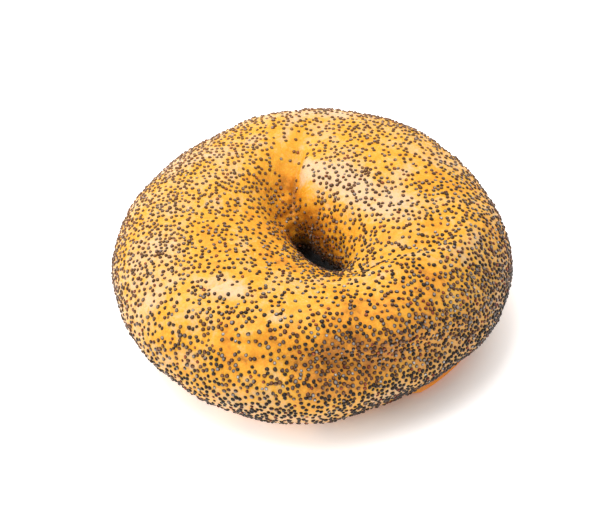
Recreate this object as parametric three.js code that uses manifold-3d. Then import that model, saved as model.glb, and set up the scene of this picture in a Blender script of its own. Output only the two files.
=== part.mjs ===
// A bagel sown with poppy seed. Millimetres, +Z up, the origin in the middle of its flat base.
// The dough is one ring: a section is drawn at every step round the hole, and furrows and
// swellings then move its skin in or out. The largest seeds are fused to the crust.
import * as THREE from 'three';
import { mergeGeometries, mergeVertices } from 'three/addons/utils/BufferGeometryUtils.js';
import Module from 'manifold-3d';

// The ring: a circle this wide, with a few waves that make it a hand-rolled oval
const ACROSS = 109.2;
const OVAL = [
  { waves: 2, amount: 0.032, turn: 44 },
  { waves: 3, amount: 0.021, turn: 98 },
  { waves: 4, amount: 0.0086, turn: 76 },
];
const HEIGHT = 35.5;
const GIRTH_LEVEL = 16.0; // level of the widest girth
const THROAT_LEVEL = 19.0; // level where the hole is narrowest
const UNDERCUT = 4.0; // how far the section would reach below the table, were it not flat
const BASE_ROUND = 0.5; // softness of the corner between base and side
const CROWN_SHIFT = 2.0; // the crown lies a little outside the middle of the section

// Roundness of the section's quarters: 2 is an ellipse, more is squarer, less is slacker
const FULL_OUTSIDE = 2.15;
const FULL_INSIDE = 1.9;
const FULL_BELOW_OUTSIDE = 1.62;
const FULL_BELOW_INSIDE = 1.6;

// The hole's throat: half axes of its ellipse, its turn in degrees and its middle
const HOLE = { long: 9.8, short: 4.9, turn: -51, x: 2.6, y: -1.9 };
const HUB = { x: 5.8, y: -3.6 }; // the point in the hole round which the sections are drawn

// Furrows and swellings: a route of [x, y, z, depth] over the skin, negative where it swells,
// and how far it spreads to the left and to the right of that route
const MARKS = [
  // The join of the rope's two ends: a slack slope on the left, a steep lobe on the right
  {
    left: 7.0, right: 2.4,
    route: [[-4, 6.2, 24.5, 1], [-4.3, 8, 27.1, 3.6], [-4.6, 13.7, 31.3, 5.2],
      [-3.7, 21, 34.1, 3.6], [-2, 28, 35.2, 1.4], [2, 35, 35.5, 0.2]],
  },
  // The same join running down into the hole
  {
    left: 2.6, right: 5.0,
    route: [[-1.2, 7, 11, 1], [-2.2, 7.3, 17, 3.6], [-2.8, 7.5, 21, 4.2], [-3.8, 7.6, 25.5, 2.2],
      [-4.5, 8.5, 28, 0.3]],
  },
  // The lobe of the upper rope end, and its wall above the hole
  { left: 8.0, right: 8.0, route: [[6.5, 15, 31, -2.4], [12, 9, 30, -3], [20, 0, 31, -2.4]] },
  { left: 7.0, right: 7.0, route: [[7, 9, 25, -1.5], [15, 0, 25, -1.5]] },
  // The tuck from the hole's right end, and the soft crest in front of it
  {
    left: 5.0, right: 3.6,
    route: [[9, -18, 29, 1], [14, -17.5, 32, 2], [21.5, -15, 33, 2.2], [32, -12, 35.3, 1.9],
      [36, -6, 35.5, 1.6], [36, 2, 35.5, 0.8], [34, 10, 35.5, 0.2]],
  },
  { left: 4.0, right: 4.0, route: [[14, -25, 35, -0.5], [26, -20, 35.4, -1.2], [37, -15, 35.4, -0.8]] },
  // The hollow along the front, with two dents in it
  {
    left: 5.0, right: 5.0,
    route: [[-36, -36, 28, 0.3], [-18, -47.5, 29, 1.2], [-4, -50.5, 28, 2.4], [8, -50, 27, 2.8],
      [18, -49.5, 25, 2.8], [32, -43, 23, 2.2], [44, -30, 23, 0.5]],
  },
  { left: 3.0, right: 3.0, route: [[-4.5, -51, 28, 1], [-1.5, -51, 26, 0.9]] },
  { left: 3.0, right: 3.0, route: [[6, -51, 28, 0.9], [11, -50.5, 26, 0.9]] },
  // Flatter stretches low on the front left and above the lip
  { left: 13.0, right: 13.0, route: [[-50, -14, 12, 1.9], [-45, -25, 12, 1.9], [-34, -38, 12, 1.9]] },
  {
    left: 6.0, right: 6.0,
    route: [[14, -47, 5, 0.3], [30, -39, 5, 0.8], [42, -26, 5, 0.8], [50, -10, 5, 0.3]],
  },
];
const LUMPS = { count: 6, longest: 36, shorter: 4, size: 0.225 }; // slow unevenness of the dough
const MARKS_FADE = { from: 1, over: 4 }; // levels above the table where the marks set in

// The lip of base crust that stands out at the front right, angles in degrees
const LIP = { at: -40, half: 21, ends: 7, out: 2.0, top: 2.6, slope: 1.2 };

// Steps of the skin: round the hole, up the foot and over the rest of the section
const STEPS_AROUND = 88;
const FOOT_LEVELS = [0.9, 2.0, 3.6];
const SECTION_FROM = 5.5;
const SECTION_TO = 3.0;
const SECTION_STEPS = 24;

// Seeds: half axes, how far their middle lies under the skin, and where they are sown
const SEED = { long: 0.62, wide: 0.5, thick: 0.42, sunk: 0.06, vary: 0.1 };
const SEEDS = 190;
const SEED_DRAWS = 24; // draws for each seed, of which the one farthest from the others is kept
const SEED_LEVEL = 3.5; // no seed lies lower than this
const SEED_HOLE_LEVEL = 20; // nor lower than this inside the hole
const BARE = [ // places left smooth: the slope beside the join and the band in the tuck
  { x: -9, y: 14, z: 32, reach: 8 },
  { x: 16, y: -18, z: 33, reach: 4 },
  { x: 26, y: -15, z: 34, reach: 5 },
];

const radians = THREE.MathUtils.degToRad;
const clamp = THREE.MathUtils.clamp;

// From the hub to the outline, along the angle
function outlineRadius(around) {
  const along = HUB.x * Math.cos(around) + HUB.y * Math.sin(around);
  const beyond = (ACROSS / 2) ** 2 - HUB.x ** 2 - HUB.y ** 2;
  let radius = Math.sqrt(along * along + beyond) - along;
  for (const { waves, amount, turn } of OVAL) {
    radius *= 1 + amount * Math.cos(waves * (around - radians(turn)));
  }
  return radius;
}

// From the hub to the throat, along the angle: where a ray meets the ellipse. Both are measured
// in the ellipse's own half axes, so that it becomes a circle of radius 1
function throatRadius(around) {
  const turn = radians(HOLE.turn);
  const hub = new THREE.Vector2(HUB.x - HOLE.x, HUB.y - HOLE.y).rotateAround(new THREE.Vector2(), -turn);
  hub.divide(new THREE.Vector2(HOLE.long, HOLE.short));
  const ray = new THREE.Vector2(
    Math.cos(around - turn) / HOLE.long, Math.sin(around - turn) / HOLE.short);
  const along = hub.dot(ray);
  const square = ray.lengthSq();
  return (Math.sqrt(along * along + square * (1 - hub.lengthSq())) - along) / square;
}

function rounded(value, fullness) {
  return Math.sign(value) * Math.abs(value) ** (2 / fullness);
}

// Height over the table: nothing reaches below it, and the corner is soft
function restedLevel(level) {
  if (level <= -BASE_ROUND) return 0;
  if (level >= BASE_ROUND) return level;
  return (level + BASE_ROUND) ** 2 / (4 * BASE_ROUND);
}

// The plain ring before any mark. The section's angle runs from the outside over the crown
function plainSkin(around, section) {
  const outer = outlineRadius(around);
  const inner = throatRadius(around);
  const out = Math.cos(section);
  const up = Math.sin(section);
  const shift = up > 0 ? CROWN_SHIFT : 0;
  const half = (outer - inner) / 2 + (out > 0 ? -shift : shift);
  const above = out > 0 ? FULL_OUTSIDE : FULL_INSIDE;
  const below = out > 0 ? FULL_BELOW_OUTSIDE : FULL_BELOW_INSIDE;
  const fullness = up > 0 ? above : below;
  const radius = (outer + inner) / 2 + shift + half * rounded(out, fullness);
  const waist = out > 0 ? GIRTH_LEVEL : THROAT_LEVEL;
  const reach = up > 0 ? HEIGHT - waist : waist + UNDERCUT;
  const level = restedLevel(waist + reach * rounded(up, fullness));
  return new THREE.Vector3(
    HUB.x + radius * Math.cos(around), HUB.y + radius * Math.sin(around), level);
}

function plainNormal(around, section) {
  const step = 0.001;
  const alongRing = plainSkin(around + step, section).sub(plainSkin(around - step, section));
  const alongSection = plainSkin(around, section + step).sub(plainSkin(around, section - step));
  return alongRing.cross(alongSection).normalize();
}

// Depth of one mark at a point: the nearest place of its route sets it
function markDepth(point, { left, right, route }) {
  const nearest = new THREE.Vector3();
  let best = Infinity;
  let depth = 0;
  let spread = right;
  for (let i = 0; i + 1 < route.length; i += 1) {
    const start = new THREE.Vector3(...route[i]);
    const end = new THREE.Vector3(...route[i + 1]);
    const line = new THREE.Line3(start, end);
    const share = line.closestPointToPointParameter(point, true);
    line.at(share, nearest);
    const distance = nearest.distanceTo(point);
    if (distance >= best) continue;
    best = distance;
    depth = THREE.MathUtils.lerp(route[i][3], route[i + 1][3], share);
    const ahead = end.clone().sub(start);
    const aside = point.clone().sub(nearest);
    const side = (ahead.x * aside.y - ahead.y * aside.x) / Math.hypot(ahead.x, ahead.y);
    const leftness = clamp(1.5 * side / Math.max(distance, 1e-6), -1, 1);
    spread = right + (left - right) * (1 + leftness) / 2;
  }
  return depth * Math.exp(-((best / spread) ** 2));
}

// Slow unevenness: a few waves of different length and heading
function lumpHeight(point) {
  let height = 0;
  for (let k = 0; k < LUMPS.count; k += 1) {
    const heading = new THREE.Vector3(
      Math.cos(2.4 * k), Math.sin(2.4 * k), 0.6 * Math.cos(1.7 * k));
    const length = LUMPS.longest - LUMPS.shorter * k;
    height += Math.sin(point.dot(heading) * 2 * Math.PI / length + 1.9 * k) * (1 - 0.1 * k);
  }
  return LUMPS.size * height;
}

// How far the lip stands out at this level and angle
function lipReach(around, level) {
  const aside = Math.abs(THREE.MathUtils.euclideanModulo(
    THREE.MathUtils.radToDeg(around) - LIP.at + 180, 360) - 180);
  const share = clamp((LIP.half - aside) / LIP.ends, 0, 1);
  return LIP.out * share * clamp((LIP.top - level) / LIP.slope, 0, 1);
}

// The skin with its marks. The base stays flat on the table
function skin(around, section) {
  const point = plainSkin(around, section);
  const level = point.z;
  let height = lumpHeight(point);
  for (const mark of MARKS) height -= markDepth(point, mark);
  height *= clamp((level - MARKS_FADE.from) / MARKS_FADE.over, 0, 1);
  point.addScaledVector(plainNormal(around, section), height);
  point.z = level <= 0 ? 0 : Math.max(point.z, 0);
  if (Math.cos(section) > 0) {
    const reach = lipReach(around, point.z);
    point.x += reach * Math.cos(around);
    point.y += reach * Math.sin(around);
  }
  return point;
}

// The section's angle at a level below the girth on the outside, and below the throat in the hole
function outsideAngle(level) {
  const share = (GIRTH_LEVEL - level) / (GIRTH_LEVEL + UNDERCUT);
  return -Math.asin(share ** (FULL_BELOW_OUTSIDE / 2));
}

function insideAngle(level) {
  const share = (THROAT_LEVEL - level) / (THROAT_LEVEL + UNDERCUT);
  return Math.PI + Math.asin(share ** (FULL_BELOW_INSIDE / 2));
}

function sectionAngles() {
  const from = outsideAngle(SECTION_FROM);
  const to = insideAngle(SECTION_TO);
  const angles = [outsideAngle(-BASE_ROUND), ...FOOT_LEVELS.map(outsideAngle)];
  for (let i = 0; i <= SECTION_STEPS; i += 1) {
    angles.push(from + (to - from) * i / SECTION_STEPS);
  }
  angles.push(insideAngle(-BASE_ROUND));
  return angles;
}

// The ring's skin as one closed grid, two triangles to a cell
function ringGeometry() {
  const angles = sectionAngles();
  const positions = [];
  const faces = [];
  for (let i = 0; i < STEPS_AROUND; i += 1) {
    const around = 2 * Math.PI * i / STEPS_AROUND;
    for (const section of angles) positions.push(...skin(around, section));
  }
  const vertex = (i, j) => (i % STEPS_AROUND) * angles.length + (j % angles.length);
  for (let i = 0; i < STEPS_AROUND; i += 1) {
    for (let j = 0; j < angles.length; j += 1) {
      faces.push(vertex(i, j), vertex(i + 1, j), vertex(i + 1, j + 1));
      faces.push(vertex(i, j), vertex(i + 1, j + 1), vertex(i, j + 1));
    }
  }
  const geometry = new THREE.BufferGeometry();
  geometry.setAttribute('position', new THREE.Float32BufferAttribute(positions, 3));
  geometry.setIndex(faces);
  return geometry;
}

// Even random numbers from 0 to 1, the same at every run
function drawing(state) {
  return () => {
    state = (Math.imul(state, 1664525) + 1013904223) >>> 0;
    return state / 4294967296;
  };
}

// The ring's triangles with their running area, so that a draw can pick one by size
function sowingGround(geometry) {
  const position = geometry.getAttribute('position');
  const index = geometry.getIndex();
  const cells = [];
  let area = 0;
  for (let i = 0; i < index.count; i += 3) {
    const corners = [0, 1, 2].map(
      (k) => new THREE.Vector3().fromBufferAttribute(position, index.getX(i + k)));
    const triangle = new THREE.Triangle(...corners);
    area += triangle.getArea();
    cells.push({ triangle, area });
  }
  return cells;
}

// One place on the skin, or none where the crust has no seeds
function drawPlace(cells, draw) {
  const wanted = draw() * cells[cells.length - 1].area;
  const { triangle } = cells.find((cell) => cell.area >= wanted);
  let [a, b] = [draw(), draw()];
  if (a + b > 1) [a, b] = [1 - a, 1 - b];
  const point = triangle.a.clone().multiplyScalar(1 - a - b);
  point.addScaledVector(triangle.b, a).addScaledVector(triangle.c, b);
  const normal = triangle.getNormal(new THREE.Vector3());
  const fromHole = new THREE.Vector3(point.x - HUB.x, point.y - HUB.y, 0);
  const inHole = fromHole.dot(normal) < 0;
  if (point.z < (inHole ? SEED_HOLE_LEVEL : SEED_LEVEL)) return null;
  if (BARE.some(({ x, y, z, reach }) => point.distanceTo({ x, y, z }) < reach)) return null;
  return { point, normal };
}

function sowSeeds(cells, draw) {
  const sown = [];
  const room = ({ point }) => Math.min(...sown.map((other) => other.point.distanceTo(point)));
  while (sown.length < SEEDS) {
    const places = [];
    while (places.length < SEED_DRAWS) {
      const place = drawPlace(cells, draw);
      if (place) places.push(place);
    }
    sown.push(places.reduce((best, place) => (room(place) > room(best) ? place : best)));
  }
  return sown;
}

// One seed lying on the crust, half sunk in it, turned any way
function seedGeometry({ point, normal }, draw) {
  const size = 1 + SEED.vary * (2 * draw() - 1);
  const seed = new THREE.IcosahedronGeometry(1, 0);
  seed.deleteAttribute('normal');
  seed.deleteAttribute('uv');
  seed.scale(SEED.long * size, SEED.wide * size, SEED.thick * size);
  seed.rotateZ(2 * Math.PI * draw());
  seed.applyQuaternion(new THREE.Quaternion().setFromUnitVectors(
    new THREE.Vector3(0, 0, 1), normal));
  const middle = point.clone().addScaledVector(normal, -SEED.sunk);
  return seed.translate(middle.x, middle.y, middle.z);
}

const wasm = await Module();
wasm.setup();

function toSolid(geometry) {
  const merged = mergeVertices(geometry);
  const mesh = new wasm.Mesh({
    numProp: 3,
    vertProperties: new Float32Array(merged.getAttribute('position').array),
    triVerts: new Uint32Array(merged.getIndex().array),
  });
  return new wasm.Manifold(mesh);
}

// The solid as a geometry, moved so that the origin lies in the middle under it
function fromSolid(solid) {
  const mesh = solid.getMesh();
  const geometry = new THREE.BufferGeometry();
  geometry.setAttribute('position', new THREE.BufferAttribute(mesh.vertProperties, 3));
  geometry.setIndex(new THREE.BufferAttribute(mesh.triVerts, 1));
  geometry.computeBoundingBox();
  const middle = geometry.boundingBox.getCenter(new THREE.Vector3());
  geometry.translate(-middle.x, -middle.y, 0);
  geometry.computeVertexNormals();
  return geometry;
}

const ring = ringGeometry();
const draw = drawing(7);
const sown = sowSeeds(sowingGround(ring), draw);
const seeds = mergeGeometries(sown.map((place) => seedGeometry(place, draw)));
const bagelSolid = toSolid(ring).add(toSolid(seeds));

const crust = new THREE.MeshStandardMaterial({ color: 0xf0b458, roughness: 0.45, metalness: 0 });
const bagel = new THREE.Mesh(fromSolid(bagelSolid), crust);
bagel.name = 'bagel';

const part = new THREE.Group();
part.add(bagel);

export default part;
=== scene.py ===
import math

import bmesh
import bpy
import numpy as np
from mathutils import Matrix, Vector, noise


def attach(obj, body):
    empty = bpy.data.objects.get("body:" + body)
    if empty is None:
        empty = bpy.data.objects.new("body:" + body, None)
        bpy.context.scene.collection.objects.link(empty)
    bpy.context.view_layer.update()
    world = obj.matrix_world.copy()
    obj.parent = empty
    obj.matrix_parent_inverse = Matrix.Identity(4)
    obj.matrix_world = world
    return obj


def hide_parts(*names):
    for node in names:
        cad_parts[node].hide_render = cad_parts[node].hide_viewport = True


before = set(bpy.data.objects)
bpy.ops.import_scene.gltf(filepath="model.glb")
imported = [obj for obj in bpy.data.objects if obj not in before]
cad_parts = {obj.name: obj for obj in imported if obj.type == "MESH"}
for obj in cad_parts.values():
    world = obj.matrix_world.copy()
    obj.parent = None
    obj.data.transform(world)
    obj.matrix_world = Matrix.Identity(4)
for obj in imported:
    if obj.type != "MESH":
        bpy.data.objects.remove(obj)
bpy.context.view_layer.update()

# The ring of dough
# A rope of wheat dough whose two ends are rolled together, proved, boiled and baked on a flat
# sheet. One closed skin: a section is spun round the hole and then shaped, lengths in mm.
ACROSS = 109.2
OVAL = [(2, 0.032, 44), (3, 0.021, 98), (4, 0.0086, 76)]   # waves, amount, turn in degrees
HEIGHT = 35.5
GIRTH_LEVEL, THROAT_LEVEL = 16.0, 19.0            # widest girth, and the hole's narrowest place
UNDERCUT = 4.0                                    # reach below the table, were it not flat
BASE_ROUND = 0.5
CROWN_SHIFT = 2.0
FULL_OUTSIDE, FULL_INSIDE = 2.15, 1.9             # roundness of the section above the girth
FULL_BELOW_OUTSIDE, FULL_BELOW_INSIDE = 1.62, 1.6
HOLE_LONG, HOLE_SHORT, HOLE_TURN = 9.8, 4.9, -51  # the throat's ellipse
HOLE_X, HOLE_Y = 2.6, -1.9
HUB_X, HUB_Y = 5.8, -3.6                          # the sections are drawn round this point

STEPS_AROUND, STEPS_SECTION = 480, 200
BASE_SHARE = 0.08                                 # share of the section's steps under the base


def outline_radius(around):
    """From the hub to the outline."""
    along = HUB_X * np.cos(around) + HUB_Y * np.sin(around)
    beyond = (ACROSS / 2) ** 2 - HUB_X ** 2 - HUB_Y ** 2
    radius = np.sqrt(along ** 2 + beyond) - along
    for waves, amount, turn in OVAL:
        radius = radius * (1 + amount * np.cos(waves * (around - math.radians(turn))))
    return radius


def throat_radius(around):
    """From the hub to the throat: where a ray meets the slanted ellipse, in its own half axes."""
    turn = math.radians(HOLE_TURN)
    aside, ahead = HUB_X - HOLE_X, HUB_Y - HOLE_Y
    hub = ((aside * math.cos(turn) + ahead * math.sin(turn)) / HOLE_LONG,
           (ahead * math.cos(turn) - aside * math.sin(turn)) / HOLE_SHORT)
    ray = np.cos(around - turn) / HOLE_LONG, np.sin(around - turn) / HOLE_SHORT
    along = hub[0] * ray[0] + hub[1] * ray[1]
    square = ray[0] ** 2 + ray[1] ** 2
    return (np.sqrt(along ** 2 + square * (1 - hub[0] ** 2 - hub[1] ** 2)) - along) / square


def rounded(value, fullness):
    return np.sign(value) * np.abs(value) ** (2 / fullness)


def rested_level(level):
    """Height over the table, with a soft corner where the dough lies on it."""
    corner = (level + BASE_ROUND) ** 2 / (4 * BASE_ROUND)
    return np.where(level <= -BASE_ROUND, 0, np.where(level >= BASE_ROUND, level, corner))


def plain_skin(around, section):
    """The ring before it is marked. The section runs from the outside over the crown."""
    outer, inner = outline_radius(around), throat_radius(around)
    out, up = np.cos(section), np.sin(section)
    shift = np.where(up > 0, CROWN_SHIFT, 0.0)
    half = (outer - inner) / 2 + np.where(out > 0, -shift, shift)
    above = np.where(out > 0, FULL_OUTSIDE, FULL_INSIDE)
    below = np.where(out > 0, FULL_BELOW_OUTSIDE, FULL_BELOW_INSIDE)
    fullness = np.where(up > 0, above, below)
    radius = (outer + inner) / 2 + shift + half * rounded(out, fullness)
    waist = np.where(out > 0, GIRTH_LEVEL, THROAT_LEVEL)
    reach = np.where(up > 0, HEIGHT - waist, waist + UNDERCUT)
    level = rested_level(waist + reach * rounded(up, fullness))
    return np.stack([HUB_X + radius * np.cos(around), HUB_Y + radius * np.sin(around), level], -1)


def plain_normal(around, section, step=0.001):
    along_ring = plain_skin(around + step, section) - plain_skin(around - step, section)
    along_section = plain_skin(around, section + step) - plain_skin(around, section - step)
    normal = np.cross(along_ring, along_section)
    return normal / np.maximum(np.linalg.norm(normal, axis=-1, keepdims=True), 1e-9)


# Furrows, and swellings where the depth is below zero: each has its spread to the left and to
# the right of a route, and the route's places as x, y, z and depth
JOIN = [
    (7.0, 2.4, [(-4, 6.2, 24.5, 1), (-4.3, 8, 27.1, 3.6), (-4.6, 13.7, 31.3, 5.2),
                (-3.7, 21, 34.1, 3.6), (-2, 28, 35.2, 1.4), (2, 35, 35.5, 0.2)]),
    (2.6, 5.0, [(-1.2, 7, 11, 1), (-2.2, 7.3, 17, 3.6), (-2.8, 7.5, 21, 4.2),
                (-3.8, 7.6, 25.5, 2.2), (-4.5, 8.5, 28, 0.3)]),
]
LOBE = [
    (8.0, 8.0, [(6.5, 15, 31, -2.4), (12, 9, 30, -3), (20, 0, 31, -2.4)]),
    (7.0, 7.0, [(7, 9, 25, -1.5), (15, 0, 25, -1.5)]),
]
TUCK = [
    (5.0, 3.6, [(9, -18, 29, 1), (14, -17.5, 32, 2), (21.5, -15, 33, 2.2), (32, -12, 35.3, 1.9),
                (36, -6, 35.5, 1.6), (36, 2, 35.5, 0.8), (34, 10, 35.5, 0.2)]),
    (4.0, 4.0, [(14, -25, 35, -0.5), (26, -20, 35.4, -1.2), (37, -15, 35.4, -0.8)]),
]
FRONT_HOLLOW = [
    (5.0, 5.0, [(-36, -36, 28, 0.3), (-18, -47.5, 29, 1.2), (-4, -50.5, 28, 2.4),
                (8, -50, 27, 2.8), (18, -49.5, 25, 2.8), (32, -43, 23, 2.2), (44, -30, 23, 0.5)]),
    (3.0, 3.0, [(-4.5, -51, 28, 1), (-1.5, -51, 26, 0.9)]),
    (3.0, 3.0, [(6, -51, 28, 0.9), (11, -50.5, 26, 0.9)]),
]
LOW_SIDE = [
    (13.0, 13.0, [(-50, -14, 12, 1.9), (-45, -25, 12, 1.9), (-34, -38, 12, 1.9)]),
    (6.0, 6.0, [(14, -47, 5, 0.3), (30, -39, 5, 0.8), (42, -26, 5, 1.8), (47, -18, 5, 1.8),
                (52, -7, 5, 0.6)]),
]
WRINKLES = [
    (0.9, 0.7, [(-4.0, 9, 27, 0.3), (-4.2, 11, 29, 0.9), (-3.8, 16, 32.4, 1.1),
                (-3.1, 20, 34, 0.8), (-1.6, 26, 35.1, 0.2)]),
    (1.5, 1.5, [(-2.2, 15.5, 32, -0.5), (-1.7, 19, 33.5, -0.9), (-0.9, 22.5, 34.5, -0.6)]),
    (1.2, 1.2, [(1.5, 18.5, 33.8, -0.3), (3.2, 17, 33.8, -0.6), (5.5, 15.5, 33.6, -0.3)]),
    (0.8, 0.8, [(-29.5, -32.5, 33.8, 0.2), (-26.6, -29.5, 35, 0.5), (-23, -27.6, 35.4, 0.3)]),
    (1.8, 1.8, [(-25, -30, 35, -0.4), (-20.5, -30.5, 35.4, -0.7), (-15.5, -31.8, 35.5, -0.4)]),
    (0.8, 0.8, [(-27, -33, 34, 0.2), (-20, -34.5, 34.8, 0.5), (-14, -35.5, 35, 0.2)]),
    (0.7, 0.7, [(-20, -43, 32.3, -0.2), (-16, -44, 32.6, -0.5), (-12, -43.6, 33.2, -0.3)]),
    (0.7, 0.7, [(-21, -44.6, 31.3, 0.1), (-16, -45.8, 31.4, 0.4), (-11, -45.4, 32, 0.1)]),
    (1.0, 1.0, [(-2, -49.5, 29.4, -0.3), (2.5, -50.7, 27.8, -0.7), (5, -51.5, 26.2, -0.3)]),
    (0.9, 0.9, [(8, -36, 35.2, 0.2), (14, -34.5, 35.2, 0.4), (21, -33, 35, 0.2)]),
]
LUMP_COUNT, LUMP_LONGEST, LUMP_SHORTER, LUMP_SIZE = 6, 36, 4, 0.225
MARKS_FROM, MARKS_OVER = 1.0, 4.0                 # levels where the marks set in
LIP_AT, LIP_HALF, LIP_ENDS = -36, 21, 5           # degrees
LIP_OUT, LIP_TOP, LIP_SLOPE = 2.0, 2.6, 1.2
FOLD_LENGTH, FOLD_HEIGHT = 6.0, 0.22              # the skin's low folds
PIMPLE_LENGTH, PIMPLE_HEIGHT = 2.3, 0.10          # and the pimples on them
BLISTER_SUNK = 0.1                                # keeps the mean level of the skin
SPIN_RADIUS = 3                                   # of the plain ring that is spun first


def mark_depth(point, left, right, route):
    """Depth of one mark: the nearest place of its route sets it."""
    best = np.full(point.shape[:-1], 1e9)
    depth = np.zeros_like(best)
    spread = np.zeros_like(best)
    for start, end in zip(route, route[1:]):
        ahead = np.subtract(end[:3], start[:3])
        share = np.clip(((point - start[:3]) @ ahead) / (ahead @ ahead), 0, 1)
        aside = point - (np.array(start[:3]) + share[..., None] * ahead)
        distance = np.linalg.norm(aside, axis=-1)
        side = (ahead[0] * aside[..., 1] - ahead[1] * aside[..., 0]) / np.hypot(ahead[0], ahead[1])
        leftness = np.clip(1.5 * side / np.maximum(distance, 1e-6), -1, 1)
        nearer = distance < best
        best = np.where(nearer, distance, best)
        depth = np.where(nearer, start[3] + share * (end[3] - start[3]), depth)
        spread = np.where(nearer, right + (left - right) * (1 + leftness) / 2, spread)
    return depth * np.exp(-(best / spread) ** 2)


def lump_height(point):
    """Slow unevenness of hand-rolled dough."""
    height = np.zeros(point.shape[:-1])
    for k in range(LUMP_COUNT):
        heading = np.array([math.cos(2.4 * k), math.sin(2.4 * k), 0.6 * math.cos(1.7 * k)])
        length = LUMP_LONGEST - LUMP_SHORTER * k
        height += np.sin(point @ heading * 2 * math.pi / length + 1.9 * k) * (1 - 0.1 * k)
    return LUMP_SIZE * height


def lip_reach(around, level):
    """The thin lip of base crust that stands out at the front right."""
    aside = np.abs((np.degrees(around) - LIP_AT + 180) % 360 - 180)
    share = np.clip((LIP_HALF - aside) / LIP_ENDS, 0, 1)
    return LIP_OUT * share * np.clip((LIP_TOP - level) / LIP_SLOPE, 0, 1)


def base_corner(waist, fullness):
    """The section's angle below its waist at which the dough meets the table."""
    share = (waist + BASE_ROUND) / (waist + UNDERCUT)
    return math.asin(share ** (fullness / 2))


def blister_height(point):
    """Fine relief: skin that shrank in long low wrinkles, with small pimples on them."""
    height = np.empty(len(point))
    for k, place in enumerate(point):
        spot = Vector(place)
        fold = 1 - abs(noise.noise(spot / FOLD_LENGTH)) * 2
        pimple = noise.noise(spot / PIMPLE_LENGTH + Vector((7, 0, 0)))
        height[k] = FOLD_HEIGHT * fold * fold + PIMPLE_HEIGHT * pimple
    return height - BLISTER_SUNK


ring_mesh = bmesh.new()
upright = Matrix.Translation((SPIN_RADIUS, 0, 0)) @ Matrix.Rotation(math.pi / 2, 4, "X")
bmesh.ops.create_circle(ring_mesh, segments=STEPS_SECTION, radius=1, matrix=upright)
bmesh.ops.spin(
    ring_mesh, geom=ring_mesh.verts[:] + ring_mesh.edges[:], cent=(0, 0, 0), axis=(0, 0, 1),
    angle=2 * math.pi, steps=STEPS_AROUND, use_merge=True)
crust_mesh = bpy.data.meshes.new("crust")
ring_mesh.to_mesh(crust_mesh)
ring_mesh.free()

# Each vertex of the spun ring is read back as its two angles and moved to the bagel's skin
raw = np.empty(len(crust_mesh.vertices) * 3)
crust_mesh.vertices.foreach_get("co", raw)
raw = raw.reshape(-1, 3)
around = np.arctan2(raw[:, 1], raw[:, 0])
out_from_rope = np.hypot(raw[:, 0], raw[:, 1]) - SPIN_RADIUS
turn = np.arctan2(raw[:, 2], out_from_rope) / (2 * math.pi) % 1
outer_corner = -base_corner(GIRTH_LEVEL, FULL_BELOW_OUTSIDE)
inner_corner = math.pi + base_corner(THROAT_LEVEL, FULL_BELOW_INSIDE)
over_crown = outer_corner + (inner_corner - outer_corner) * turn / (1 - BASE_SHARE)
under_base = inner_corner + (outer_corner + 2 * math.pi - inner_corner) * (
    (turn - 1 + BASE_SHARE) / BASE_SHARE)
section = np.where(turn < 1 - BASE_SHARE, over_crown, under_base)

skin = plain_skin(around, section)
skin_normal = plain_normal(around, section)
plain_level = skin[:, 2].copy()
furrow_depth = sum(mark_depth(skin, *mark) for mark in JOIN + FRONT_HOLLOW + TUCK + LOBE + LOW_SIDE)
wrinkle_depth = sum(mark_depth(skin, *mark) for mark in WRINKLES)
height = lump_height(skin) + blister_height(skin) - furrow_depth - wrinkle_depth
height *= np.clip((plain_level - MARKS_FROM) / MARKS_OVER, 0, 1)
skin = skin + skin_normal * height[:, None]
skin[:, 2] = np.where(plain_level <= 0, 0, np.maximum(skin[:, 2], 0))
reach = lip_reach(around, skin[:, 2]) * (np.cos(section) > 0)
skin[:, 0] += reach * np.cos(around)
skin[:, 1] += reach * np.sin(around)
middle = (skin.min(0) + skin.max(0)) / 2
skin[:, :2] -= middle[:2]

MM = 0.001
crust_mesh.vertices.foreach_set("co", (skin * MM).ravel())
crust_mesh.update()
ring_mesh = bmesh.new()
ring_mesh.from_mesh(crust_mesh)
bmesh.ops.recalc_face_normals(ring_mesh, faces=ring_mesh.faces)
ring_mesh.to_mesh(crust_mesh)
ring_mesh.free()
crust_mesh.shade_smooth()
crust = bpy.data.objects.new("crust", crust_mesh)
bpy.context.collection.objects.link(crust)

# Where the crust is paler, deeper or duller, partly from its bake and partly as painted highlight
# and painted shade: x, y, z in mm, reach and amount of each place
# Paler: partly real paler bake, such as low on the front, and painted highlights on the lobe's
# shoulder, the seam's right edge, the tuck and the fold ridges
PALE_AND_HIGHLIT_PLACES = [
    (-1.6, 19, 33.5, 3, 1.2), (3, 17, 33, 4, 0.9), (8, 14, 31, 6, 0.9), (14, 9, 31, 7, 0.9),
    (20, 3, 33, 5, 0.5), (24, 0, 35, 7, 0.5), (26, -17, 35, 5, 0.4), (-45, -18, 22, 20, 0.3),
    (-34, 24, 26, 16, 0.5), (2, 46, 28, 18, 0.6), (0, -52, 9, 9, 1.1), (-20, -49, 9, 10, 0.8),
    (20, -49, 9, 9, 1.2), (38, -38, 10, 11, 1.2), (51, -18, 12, 11, 0.9), (-38, -34, 10, 12, 0.5),
    (-40, -12, 32, 7, 0.5), (-22, -30.5, 35, 5, 1.1), (-9.5, -40.5, 34.5, 2, 0.8),
    (2.5, -50.7, 28, 2.2, 0.6),
]
# Deeper: partly real deeper bake, and painted shade in the seam's groove, low in the hole and in
# the front hollow
DEEP_AND_SHADED_PLACES = [
    (-8, 13, 31, 7, 0.35), (-4, 6, 24, 7, 0.8), (2, 8, 25, 5, 0.7), (3, 3, 12, 11, 1.0),
    (4, -51, 27, 9, 0.8), (18, -49, 25, 12, 0.8), (36, -38, 18, 15, 0.6), (-8, -40, 32, 8, 0.5),
    (-3, 24, 34, 6, 0.4), (-22, -48, 22, 10, 0.4),
]
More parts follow.
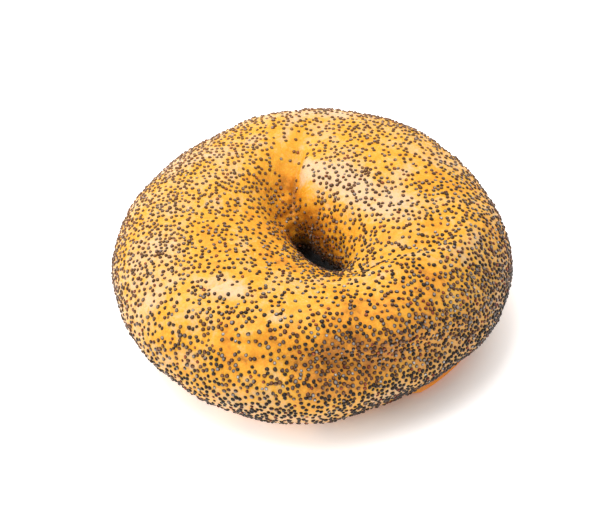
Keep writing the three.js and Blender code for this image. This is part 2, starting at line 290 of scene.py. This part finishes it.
# Duller: partly the low side's tan, partly painted shade on the lower right, which faces away from
# the lamp
TAN_AND_SHADE_PLACES = [
    (38, -38, 12, 17, 0.75), (53, -18, 14, 15, 0.75), (54, 0, 16, 12, 0.35),
    (20, -50, 6, 13, 0.4), (0, -53, 6, 14, 0.4), (-22, -48, 7, 13, 0.35), (-40, -34, 8, 13, 0.2),
]
PLAIN_TONE = 0.45
TAN_AND_SHADE_MOST = 0.8
# Painted shade and highlight: wrinkles are painted deeper in their furrows and paler on their
# ridges
WRINKLE_SHADE_AND_HIGHLIGHT = 0.38                               # deeper in a wrinkle, paler on its ridge
# Painted shade: a dark line is painted in the groove over the lip
GROOVE_SHADE_LEVEL, GROOVE_SHADE_REACH = 3.2, 0.7             # the dark line over the lip
BARE_BASE_LEVEL, BARE_LIP_LEVEL = 1.6, 1.4        # seedless crust by the table, and more at the lip
BARE_BASE_SHARE = 0.45                            # of its orange away from the lip
# Painted shade: below this level the hole's wall is painted near black, where shade falls deep in
# the hole
HOLE_SHADE_LEVEL, HOLE_SHADE_OVER = 19, 5               # the hole's wall darkens downwards from here


def nearness(point, place, reach, fall=2):
    """1 at a place, falling to nothing beyond its reach."""
    return np.exp(-(np.linalg.norm(point - place, axis=1) / reach) ** fall)


def tone_and_painted_light(point):
    """0 where the crust is palest, 0.5 at plain gold and 1 at its deepest orange brown; painted
    highlights lower it and painted shade raises it.
    """
    tone = np.full(len(point), PLAIN_TONE)
    for x, y, z, reach, amount in PALE_AND_HIGHLIT_PLACES:
        tone -= 0.5 * amount * nearness(point, (x, y, z), reach)
    for x, y, z, reach, amount in DEEP_AND_SHADED_PLACES:
        tone += 0.5 * amount * nearness(point, (x, y, z), reach)
    return np.clip(tone, 0, 1)


def tan_and_shade_share(point):
    """Where the low side is painted dull and brown rather than golden: partly its tan, partly
    painted shade on the lower right, away from the lamp.
    """
    share = np.zeros(len(point))
    for x, y, z, reach, amount in TAN_AND_SHADE_PLACES:
        share += amount * nearness(point, (x, y, z), reach)
    return np.clip(share, 0, TAN_AND_SHADE_MOST)


def keep(mesh, name, values):
    """One number for each vertex, for the mesh's material to read."""
    mesh.attributes.new(name, "FLOAT", "POINT").data.foreach_set("value", values)


lip_share = lip_reach(around, np.zeros(len(around))) / LIP_OUT
# The tone also holds painted shade in wrinkle furrows and painted highlight on their ridges
crust_tone_and_painted_light = np.clip(tone_and_painted_light(skin) + WRINKLE_SHADE_AND_HIGHLIGHT * np.clip(wrinkle_depth, -1, 1), 0, 1)
# Painted shade in the groove over the lip
crust_tone_and_painted_light += lip_share * np.exp(-((plain_level - GROOVE_SHADE_LEVEL) / GROOVE_SHADE_REACH) ** 2)
bare_level = BARE_BASE_LEVEL + BARE_LIP_LEVEL * lip_share
base_tone = np.clip(1 - plain_level / bare_level, 0, 1) ** 0.5
base_tone *= BARE_BASE_SHARE + (1 - BARE_BASE_SHARE) * lip_share
# Painted shade on the hole's wall, from the throat downwards
hole_shade_tone = np.clip((HOLE_SHADE_LEVEL - plain_level) / HOLE_SHADE_OVER, 0, 1) * (np.cos(section) < 0)
keep(crust_mesh, "baked_and_painted_light", crust_tone_and_painted_light)
keep(crust_mesh, "tan_and_shade", tan_and_shade_share(skin))
keep(crust_mesh, "base", base_tone)
keep(crust_mesh, "hole_shade", hole_shade_tone)


def linear(code):
    """An sRGB hex colour as linear values with alpha."""
    parts = [int(code[k:k + 2], 16) / 255 for k in (1, 3, 5)]
    return [c / 12.92 if c <= 0.04045 else ((c + 0.055) / 1.055) ** 2.4 for c in parts] + [1.0]


def add(tree, kind, settings=None, inputs=None):
    """One node with its settings, and its inputs as values or as links."""
    made = tree.nodes.new(kind)
    for name, value in (settings or {}).items():
        setattr(made, name, value)
    for name, value in (inputs or {}).items():
        if isinstance(value, bpy.types.NodeSocket):
            tree.links.new(value, made.inputs[name])
        else:
            made.inputs[name].default_value = value
    return made


# Boiled and baked wheat crust: a thin starchy skin, satin, golden with paler and deeper cloudy
# places, streaks and fine wrinkles, and dull brown low down, partly tanned and partly painted
# shade. Its colour also holds painted highlights and painted shade, and the hole's wall is painted
# near black as shade. Light goes a little way into it.
CLOUD_SIZE, STREAK_SIZE, GRAIN_SIZE, PORE_SIZE = 0.016, 0.0045, 0.0013, 0.0009  # metres
crust_finish = bpy.data.materials.new("baked_wheat_crust")
crust_finish.use_nodes = True
tree = crust_finish.node_tree
tree.nodes.clear()
where = add(tree, "ShaderNodeTexCoord").outputs["Object"]
clouds = add(tree, "ShaderNodeTexNoise", None, {
    "Vector": where, "Scale": 1 / CLOUD_SIZE, "Detail": 3.0, "Roughness": 0.55, "Distortion": 0.6})
streaks = add(tree, "ShaderNodeTexNoise", None, {
    "Vector": where, "Scale": 1 / STREAK_SIZE, "Detail": 4.0, "Roughness": 0.6, "Distortion": 1.2})
# The vertex tone: real bake, with painted highlight and painted shade in it
baked_and_painted_light = add(tree, "ShaderNodeAttribute", {"attribute_name": "baked_and_painted_light"}).outputs["Fac"]
cloudy = add(tree, "ShaderNodeMath", {"operation": "MULTIPLY_ADD"}, {
    0: clouds.outputs["Fac"], 1: 1.1, 2: baked_and_painted_light})
streaky = add(tree, "ShaderNodeMath", {"operation": "MULTIPLY_ADD"}, {
    0: streaks.outputs["Fac"], 1: 0.8, 2: cloudy.outputs[0]})
grain = add(tree, "ShaderNodeTexNoise", None, {
    "Vector": where, "Scale": 1 / GRAIN_SIZE, "Detail": 2.0, "Roughness": 0.6, "Distortion": 0.8})
grainy = add(tree, "ShaderNodeMath", {"operation": "MULTIPLY_ADD"}, {
    0: grain.outputs["Fac"], 1: 0.5, 2: streaky.outputs[0]})
tone = add(tree, "ShaderNodeMapRange", None, {
    "Value": grainy.outputs[0], "From Min": 1.2, "From Max": 2.2})
ramp = add(tree, "ShaderNodeValToRGB", None, {"Fac": tone.outputs["Result"]})
ramp.color_ramp.elements[0].position = 0.05
ramp.color_ramp.elements[0].color = linear("#E5BE90")
ramp.color_ramp.elements[1].position = 0.95
ramp.color_ramp.elements[1].color = linear("#B06C1E")
gold = ramp.color_ramp.elements.new(0.42)
gold.color = linear("#ECAB32")
amber = ramp.color_ramp.elements.new(0.66)
amber.color = linear("#E69828")
# Tan and painted shade: the low side, most of all the lower right, is mixed towards a dull brown
tan = add(tree, "ShaderNodeAttribute", {"attribute_name": "tan_and_shade"}).outputs["Fac"]
tan_and_shade = add(tree, "ShaderNodeMix", {"data_type": "RGBA"}, {
    0: tan, 6: ramp.outputs["Color"], 7: linear("#C6945E")})
based = add(tree, "ShaderNodeAttribute", {"attribute_name": "base"}).outputs["Fac"]
coloured = add(tree, "ShaderNodeMix", {"data_type": "RGBA"}, {
    0: based, 6: tan_and_shade.outputs[2], 7: linear("#FF920C")})
# Painted shade: the hole's wall is mixed towards near black below the throat
hole_shade_share = add(tree, "ShaderNodeAttribute", {"attribute_name": "hole_shade"}).outputs["Fac"]
painted_hole_shade = add(tree, "ShaderNodeMix", {"data_type": "RGBA"}, {
    0: hole_shade_share, 6: coloured.outputs[2], 7: linear("#1E0D05")})
pores = add(tree, "ShaderNodeTexNoise", None, {
    "Vector": where, "Scale": 1 / PORE_SIZE, "Detail": 3.0, "Roughness": 0.6})
wrinkled = add(tree, "ShaderNodeMath", {"operation": "MULTIPLY_ADD"}, {
    0: streaks.outputs["Fac"], 1: 2.0, 2: pores.outputs["Fac"]})
raised = add(tree, "ShaderNodeBump", None, {
    "Height": wrinkled.outputs[0], "Strength": 0.7, "Distance": 0.0003})
skin_shader = add(tree, "ShaderNodeBsdfPrincipled", None, {
    "Base Color": painted_hole_shade.outputs[2], "Roughness": 0.42, "IOR": 1.45,
    "Specular IOR Level": 0.3,
    "Subsurface Weight": 0.3, "Subsurface Radius": (1.0, 0.45, 0.15), "Subsurface Scale": 0.0012,
    "Normal": raised.outputs["Normal"]})
add(tree, "ShaderNodeOutputMaterial", None, {"Surface": skin_shader.outputs["BSDF"]})
crust_mesh.materials.append(crust_finish)
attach(crust, "root")
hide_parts("bagel")

# The poppy seeds
# Kidney-shaped seeds a little over 1 mm long, pressed into the wet dough before baking: slate,
# brown and scorched black, a few rusty or pale; low down most seeds are drawn black, partly
# scorched and partly as painted shade. They lie singly and in clumps, crowd at the lower right,
# and leave the seam's slope and the foot nearly bare.
SEED_LONG, SEED_WIDE, SEED_THICK = 1.24, 1.06, 0.92
SEED_BEND = 0.14                                  # of the kidney shape
SEED_SUNK, SUNK_UNEVEN = 0.05, 0.06               # how far the seed's middle lies under the skin
SEEDS_PER_MM2 = 0.221
SEED_CLUMPS = 0.5                                 # share of the draws that must touch a laid seed
SEED_ROOM, SEED_BESIDE = 1.0, 1.42                # distances between middles of touching seeds
SEED_BOX, SEED_FAR = 2, 9.0                       # boxes that near seeds are looked up in
SEED_DRAWS = 6                                    # places drawn for each seed that is wanted
SEED_FOOT, SEED_LIP_FOOT = 1.8, 1.2               # no seed lies lower, and more so over the lip
SEED_DEPTH = 13.0                                 # nor lower than this in the hole
SEED_TILT, SEED_UNEVEN = 0.22, 0.09               # how far they lean, and differ in size
SEED_FULL, GLAZED_LESS = 1.02, 0.14               # glazed seeds show smaller
# Painted shade and scorch: most seeds below this level are drawn black
SCORCHED_AND_SHADED_BELOW, SCORCHED_AND_SHADED_SHARE = 19, 0.75         # low seeds are mostly black
SLATE_TO, BROWN_TO, BLACK_TO, RUST_TO = 0.36, 0.68, 0.89, 0.965  # where each colour's share ends
FACING_DOWN = -0.9                                # the flat base stays bare
BARE_PLACES = [
    (-8, 12, 32, 4.5, 0.98), (-6, 18, 33, 6.3, 0.98), (-2, 13, 31, 4.5, 0.97), (-2, 8, 27, 4, 0.9),
    (-5, 25, 34, 6, 0.9), (16, -18, 33, 3.2, 0.95), (22, -16.5, 34, 3.4, 0.95),
    (28, -14.5, 35, 3.2, 0.9), (-21, -30, 35, 5, 0.8), (-14, -22, 35.5, 9, 0.5),
    (-29, 6, 34, 9, 0.2), (0, 38, 34, 12, 0.35), (24, 22, 34, 13, 0.4), (-14, -2, 34, 10, 0.35),
    (6, -33, 35, 10, 0.35), (30, -12, 35, 10, 0.4), (-8, -38, 35, 9, 0.6), (16, -38.5, 34, 7, 0.6),
    (32, -26, 34, 8, 0.65), (-30, -17.6, 35.4, 5.5, 0.5), (26, 7, 35, 6, 0.4),
    (-37, -34, 30, 7, 0.4), (22, -32, 34.5, 8, 0.3),
    (-17, -47, 30, 9, 0.5), (-35, -31, 27, 10, 0.4), (-4, -48, 5, 9, 0.8), (-26, -44, 5, 9, 0.7),
    (14, -47, 5, 9, 0.85), (30, -38, 5, 9, 0.75), (43, -25, 5, 9, 0.6), (-40, -32, 5, 9, 0.5),
]
CROWDED_PLACES = [
    (38, -38, 17, 15, 14.0), (50, -20, 17, 13, 12.0), (20, -48, 16, 13, 4.5), (7, -7, 20, 5, 1.6),
    (3, 1, 19, 5, 1.6), (54, 0, 18, 14, 1.8), (-50, 8, 20, 18, 1.2), (-44, -8, 30, 14, 1.0),
    (-34, 12, 34, 12, 0.6), (-34, 28, 30, 16, 1.1), (-30, -40, 20, 12, 0.7), (0, -50, 24, 11, 1.2),
    (-10, -52, 13, 14, 0.8), (46, 16, 26, 14, 0.6), (12, 12, 32, 9, 0.8),
    (12, -46, 30, 9, 1.0), (20, 40, 28, 16, 0.6), (41, -31, 26, 8, 3.0), (-38, -16, 34, 5.5, 1.2),
    (-21.6, -38.7, 33.7, 5, 0.8), (-28, -45, 27, 5, 0.5),
]


def seed_liking(point):
    """How many seeds a place holds, against the plain crust."""
    liking = np.ones(len(point))
    for x, y, z, reach, amount in CROWDED_PLACES:
        liking += amount * nearness(point, (x, y, z), reach)
    for x, y, z, reach, amount in BARE_PLACES:
        liking *= 1 - amount * nearness(point, (x, y, z), reach, fall=4)
    return liking


# The crust's four-sided faces are put in one fixed order, so that every run sows the same seeds
patches = np.empty(len(crust_mesh.polygons) * 4, int)
crust_mesh.polygons.foreach_get("vertices", patches)
patches = patches.reshape(-1, 4)
first = patches.argmin(1)[:, None]
patches = np.take_along_axis(patches, (first + np.arange(4)) % 4, 1)
patches = patches[np.lexsort(patches.T[::-1])]
corners = np.concatenate([patches[:, [0, 1, 2]], patches[:, [0, 2, 3]]])
spun = skin[corners]
cell_normal = np.cross(spun[:, 1] - spun[:, 0], spun[:, 2] - spun[:, 0])
cell_area = np.linalg.norm(cell_normal, axis=1) / 2
cell_normal /= np.maximum(2 * cell_area[:, None], 1e-12)
cell_middle = spun.mean(1)
towards_hole = ((cell_middle[:, :2] - (HUB_X, HUB_Y)) * cell_normal[:, :2]).sum(1) < 0
lowest = np.where(towards_hole, SEED_DEPTH, SEED_FOOT + SEED_LIP_FOOT * lip_share[corners[:, 0]])
cell_share = cell_area * seed_liking(cell_middle) * (cell_middle[:, 2] > lowest)
cell_share *= cell_normal[:, 2] > FACING_DOWN
seed_count = int(SEEDS_PER_MM2 * cell_share.sum())
cell_share /= cell_share.sum()

draws = np.random.default_rng(11)
cells = draws.choice(len(cell_share), size=seed_count * SEED_DRAWS, p=cell_share)
mix = draws.random((len(cells), 2))
mix = np.where(mix.sum(1, keepdims=True) > 1, 1 - mix, mix)
places = (spun[cells, 0] + mix[:, :1] * (spun[cells, 1] - spun[cells, 0])
          + mix[:, 1:] * (spun[cells, 2] - spun[cells, 0]))
place_normals = cell_normal[cells]

# Seeds are laid one by one. A clumped seed is one that falls just beside one already there
boxes = {}
laid = []
spots = places.tolist()
for k, place in enumerate(spots):
    if len(laid) == seed_count:
        break
    key = tuple(int(c // SEED_BOX) for c in place)
    near = [n for i in (-1, 0, 1) for j in (-1, 0, 1) for m in (-1, 0, 1)
            for n in boxes.get((key[0] + i, key[1] + j, key[2] + m), ())]
    gap = min((math.dist(spots[n], place) for n in near), default=SEED_FAR)
    clumped = draws.random() < SEED_CLUMPS
    if SEED_ROOM < gap < SEED_BESIDE if clumped else gap > SEED_BESIDE:
        boxes.setdefault(key, []).append(k)
        laid.append(k)
laid = np.array(laid)

# Towards the back and left the seeds were pressed deeper and carry more of the starchy glaze; the
# same share also paints them lighter and redder, as painted light on the side towards the lamp
glaze_and_light_at = np.clip(0.5 + (places[:, 1] - 0.5 * places[:, 0] - 10) / 90, 0, 1)
glaze_and_light_at *= np.clip((places[:, 2] - 6) / 20, 0, 1)

seed_shape = bmesh.new()
bmesh.ops.create_uvsphere(seed_shape, u_segments=8, v_segments=5, radius=0.5)
for vert in seed_shape.verts:
    bend = SEED_BEND * math.cos(2.6 * vert.co.x)
    vert.co = (vert.co.x * SEED_LONG, (vert.co.y + bend - 0.1) * SEED_WIDE, vert.co.z * SEED_THICK)
seed_verts = np.array([v.co[:] for v in seed_shape.verts])
seed_faces = [[v.index for v in face.verts] for face in seed_shape.faces]
seed_shape.free()


def sow(name, chosen, finish, seed_size=1.0):
    """All the seeds of one colour as one mesh, each turned its own way."""
    count = len(chosen)
    normal = place_normals[chosen]
    any_way = draws.normal(size=(count, 3))
    normal = normal + SEED_TILT * any_way
    normal /= np.linalg.norm(normal, axis=1, keepdims=True)
    side = np.cross(normal, draws.normal(size=(count, 3)))
    side /= np.linalg.norm(side, axis=1, keepdims=True)
    cross = np.cross(normal, side)
    turned = np.stack([side, cross, normal], 1)
    sizes = seed_size * draws.normal(1.0, SEED_UNEVEN, size=(count, 1, 1)).clip(0.78, 1.25)
    sizes *= SEED_FULL - GLAZED_LESS * glaze_and_light_at[chosen][:, None, None]
    sunk = draws.normal(0, SUNK_UNEVEN, size=(count, 1)).clip(-2 * SUNK_UNEVEN, 2 * SUNK_UNEVEN)
    sunk += SEED_SUNK
    middles = places[chosen] - place_normals[chosen] * sunk
    verts = np.einsum("vi,nij->nvj", seed_verts, turned) * sizes + middles[:, None, :]
    corners_of_all = []
    for n in range(count):
        corners_of_all += [[v + n * len(seed_verts) for v in face] for face in seed_faces]
    mesh = bpy.data.meshes.new(name)
    mesh.from_pydata((verts.reshape(-1, 3) * MM).tolist(), [], corners_of_all)
    mesh.shade_smooth()
    keep(mesh, "shade", np.repeat(draws.random(count), len(seed_verts)))
    # Painted highlight: each vertex's height on its seed, which lightens the seed's crown
    keep(mesh, "crown", np.tile(seed_verts[:, 2] / seed_verts[:, 2].max(), count))
    keep(mesh, "glaze_and_light", np.repeat(glaze_and_light_at[chosen], len(seed_verts)))
    mesh.materials.append(finish)
    piece = bpy.data.objects.new(name, mesh)
    bpy.context.collection.objects.link(piece)
    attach(piece, "root")
    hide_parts("bagel")


def seed_coat(name, rim, dark, light, roughness):
    """Dry seed coat: netted with fine ridges; its crown is painted light and its rim brown, partly
    the coat's bloom and partly painted highlight and shade; mixed with a crust colour where a
    starchy coat lies over it and as painted light on the side towards the lamp.
    """
    finish = bpy.data.materials.new(name)
    finish.use_nodes = True
    tree = finish.node_tree
    tree.nodes.clear()
    where = add(tree, "ShaderNodeTexCoord").outputs["Object"]
    shade = add(tree, "ShaderNodeAttribute", {"attribute_name": "shade"}).outputs["Fac"]
    colour = add(tree, "ShaderNodeMix", {"data_type": "RGBA"}, {
        0: shade, 6: linear(dark), 7: linear(light)})
    # Painted highlight and shade: light on the seed's crown, dark brown towards its rim, partly the
    # coat's own bloom
    crown = add(tree, "ShaderNodeMapRange", {"interpolation_type": "SMOOTHSTEP"}, {
        "Value": add(tree, "ShaderNodeAttribute", {"attribute_name": "crown"}).outputs["Fac"],
        "From Min": 0.5, "From Max": 1.0})
    rimmed = add(tree, "ShaderNodeMix", {"data_type": "RGBA"}, {
        0: crown.outputs["Result"], 6: linear(rim), 7: colour.outputs[2]})
    # Glaze and painted light: seeds towards the back and left, the side towards the lamp, are mixed
    # towards a lighter crust colour
    veil_and_light = add(tree, "ShaderNodeMath", {"operation": "MULTIPLY"}, {
        0: add(tree, "ShaderNodeAttribute", {"attribute_name": "glaze_and_light"}).outputs["Fac"], 1: 0.42})
    veiled_and_lit = add(tree, "ShaderNodeMix", {"data_type": "RGBA"}, {
        0: veil_and_light.outputs[0], 6: rimmed.outputs[2], 7: linear("#A66E38")})
    net = add(tree, "ShaderNodeTexVoronoi", {"feature": "DISTANCE_TO_EDGE"}, {
        "Vector": where, "Scale": 1 / 0.00016})
    ridges = add(tree, "ShaderNodeBump", {"invert": True}, {
        "Height": net.outputs["Distance"], "Strength": 0.4, "Distance": 0.00004})
    shader = add(tree, "ShaderNodeBsdfPrincipled", None, {
        "Base Color": veiled_and_lit.outputs[2], "Roughness": roughness, "IOR": 1.5,
        "Specular IOR Level": 0.3, "Normal": ridges.outputs["Normal"]})
    add(tree, "ShaderNodeOutputMaterial", None, {"Surface": shader.outputs["BSDF"]})
    return finish


# Each seed draws a number from 0 to 1 that picks its colour, and most low seeds are made black:
# partly scorched, partly painted shade on the low side, where seeds catch no light from above
kinds = draws.random(len(laid))
scorched_and_shaded = draws.random(len(laid)) < SCORCHED_AND_SHADED_SHARE
scorched_and_shaded &= (places[laid, 2] < SCORCHED_AND_SHADED_BELOW) & (kinds < BLACK_TO)
kinds[scorched_and_shaded] = BROWN_TO
sow("seeds_slate", laid[kinds < SLATE_TO],
    seed_coat("slate_poppy_seed", "#331808", "#4C3A30", "#A0968E", 0.34))
sow("seeds_brown", laid[(kinds >= SLATE_TO) & (kinds < BROWN_TO)],
    seed_coat("brown_poppy_seed", "#3E1C0A", "#5A3420", "#8C6648", 0.36))
sow("seeds_black", laid[(kinds >= BROWN_TO) & (kinds < BLACK_TO)],
    seed_coat("black_poppy_seed", "#1A0B04", "#22140C", "#40342E", 0.32))
sow("seeds_rust", laid[(kinds >= BLACK_TO) & (kinds < RUST_TO)],
    seed_coat("rusty_poppy_seed", "#4E1D0E", "#7A351F", "#B4613C", 0.4), 0.9)
sow("seeds_pale", laid[kinds >= RUST_TO],
    seed_coat("pale_poppy_seed", "#5E4A3E", "#9C9690", "#C8C6C2", 0.45), 0.85)


# The floor
# A plain white sheet that runs out of sight. It glows, though it is no lamp, more and more away
# from the bagel, so that it burns out to white all round; this painted light also shapes the soft
# shadow left next to the bagel, which is partly painted.
SHEET_HALF = 4.0
PAINTED_SHADOW_MIDDLE = (0.014, -0.012, 0)                   # of the shadow, in metres
GLOW_FROM, GLOW_TO, GLOW_STRENGTH = 0.023, 0.050, 0.5
floor_mesh = bpy.data.meshes.new("floor")
sheet = bmesh.new()
bmesh.ops.create_grid(sheet, x_segments=1, y_segments=1, size=SHEET_HALF)
sheet.to_mesh(floor_mesh)
sheet.free()
floor = bpy.data.objects.new("floor", floor_mesh)
bpy.context.collection.objects.link(floor)
white = bpy.data.materials.new("matt_white_sheet")
white.use_nodes = True
white_shader = white.node_tree.nodes["Principled BSDF"]
white_shader.inputs["Base Color"].default_value = linear("#F7F5F4")
white_shader.inputs["Roughness"].default_value = 0.9
glow_distance = add(white.node_tree, "ShaderNodeVectorMath", {"operation": "DISTANCE"}, {
    0: add(white.node_tree, "ShaderNodeTexCoord").outputs["Object"], 1: PAINTED_SHADOW_MIDDLE})
# Painted light: the sheet glows more the further it lies from the painted shadow's middle
glow = add(white.node_tree, "ShaderNodeMapRange", {"interpolation_type": "SMOOTHSTEP"}, {
    "Value": glow_distance.outputs["Value"], "From Min": GLOW_FROM, "From Max": GLOW_TO,
    "To Max": GLOW_STRENGTH})
white.node_tree.links.new(glow.outputs["Result"], white_shader.inputs["Emission Strength"])
white_shader.inputs["Emission Color"].default_value = (1, 1, 1, 1)
floor_mesh.materials.append(white)

# Studio light: a white room, and one wide soft lamp from the far left above
LAMP_PLACE, LAMP_SIZE, LAMP_POWER = (-0.5, 0.2, 1.25), 1.1, 17.5
world = bpy.data.worlds.new("white_room")
bpy.context.scene.world = world
world.use_nodes = True
world.node_tree.nodes["Background"].inputs["Color"].default_value = (1, 1, 1, 1)
world.node_tree.nodes["Background"].inputs["Strength"].default_value = 0.75
LOOK_AT = Vector((-middle[0] * MM, -middle[1] * MM, 0.018))
soft_lamp = bpy.data.lights.new("key", "AREA")
soft_lamp.size = LAMP_SIZE
soft_lamp.energy = LAMP_POWER
key = bpy.data.objects.new("key", soft_lamp)
bpy.context.collection.objects.link(key)
key.location = LAMP_PLACE
key.rotation_euler = (LOOK_AT - Vector(LAMP_PLACE)).to_track_quat("-Z", "Y").to_euler()

# The camera stands in front and looks down on the bagel, as the photograph's did
PHOTO_WIDTH, PHOTO_HEIGHT = 612, 527
ELEVATION = math.radians(43)
DISTANCE = 0.75
PIXELS_PER_M = 3657                               # at the middle of the bagel
MIDDLE_X, MIDDLE_Y = 309.5, 258.75                # where that middle lies in the photograph
view = bpy.data.cameras.new("camera")
camera = bpy.data.objects.new("camera", view)
bpy.context.collection.objects.link(camera)
back = Vector((0, -math.cos(ELEVATION), math.sin(ELEVATION)))
camera.location = LOOK_AT + back * DISTANCE
camera.rotation_euler = (math.pi / 2 - ELEVATION, 0, 0)
view.sensor_width = 36
view.lens = PIXELS_PER_M * DISTANCE / PHOTO_WIDTH * view.sensor_width
view.shift_x = (PHOTO_WIDTH / 2 - MIDDLE_X) / PHOTO_WIDTH
view.shift_y = (MIDDLE_Y - PHOTO_HEIGHT / 2) / PHOTO_WIDTH
bpy.context.scene.camera = camera
bpy.context.scene.view_settings.view_transform = "Standard"
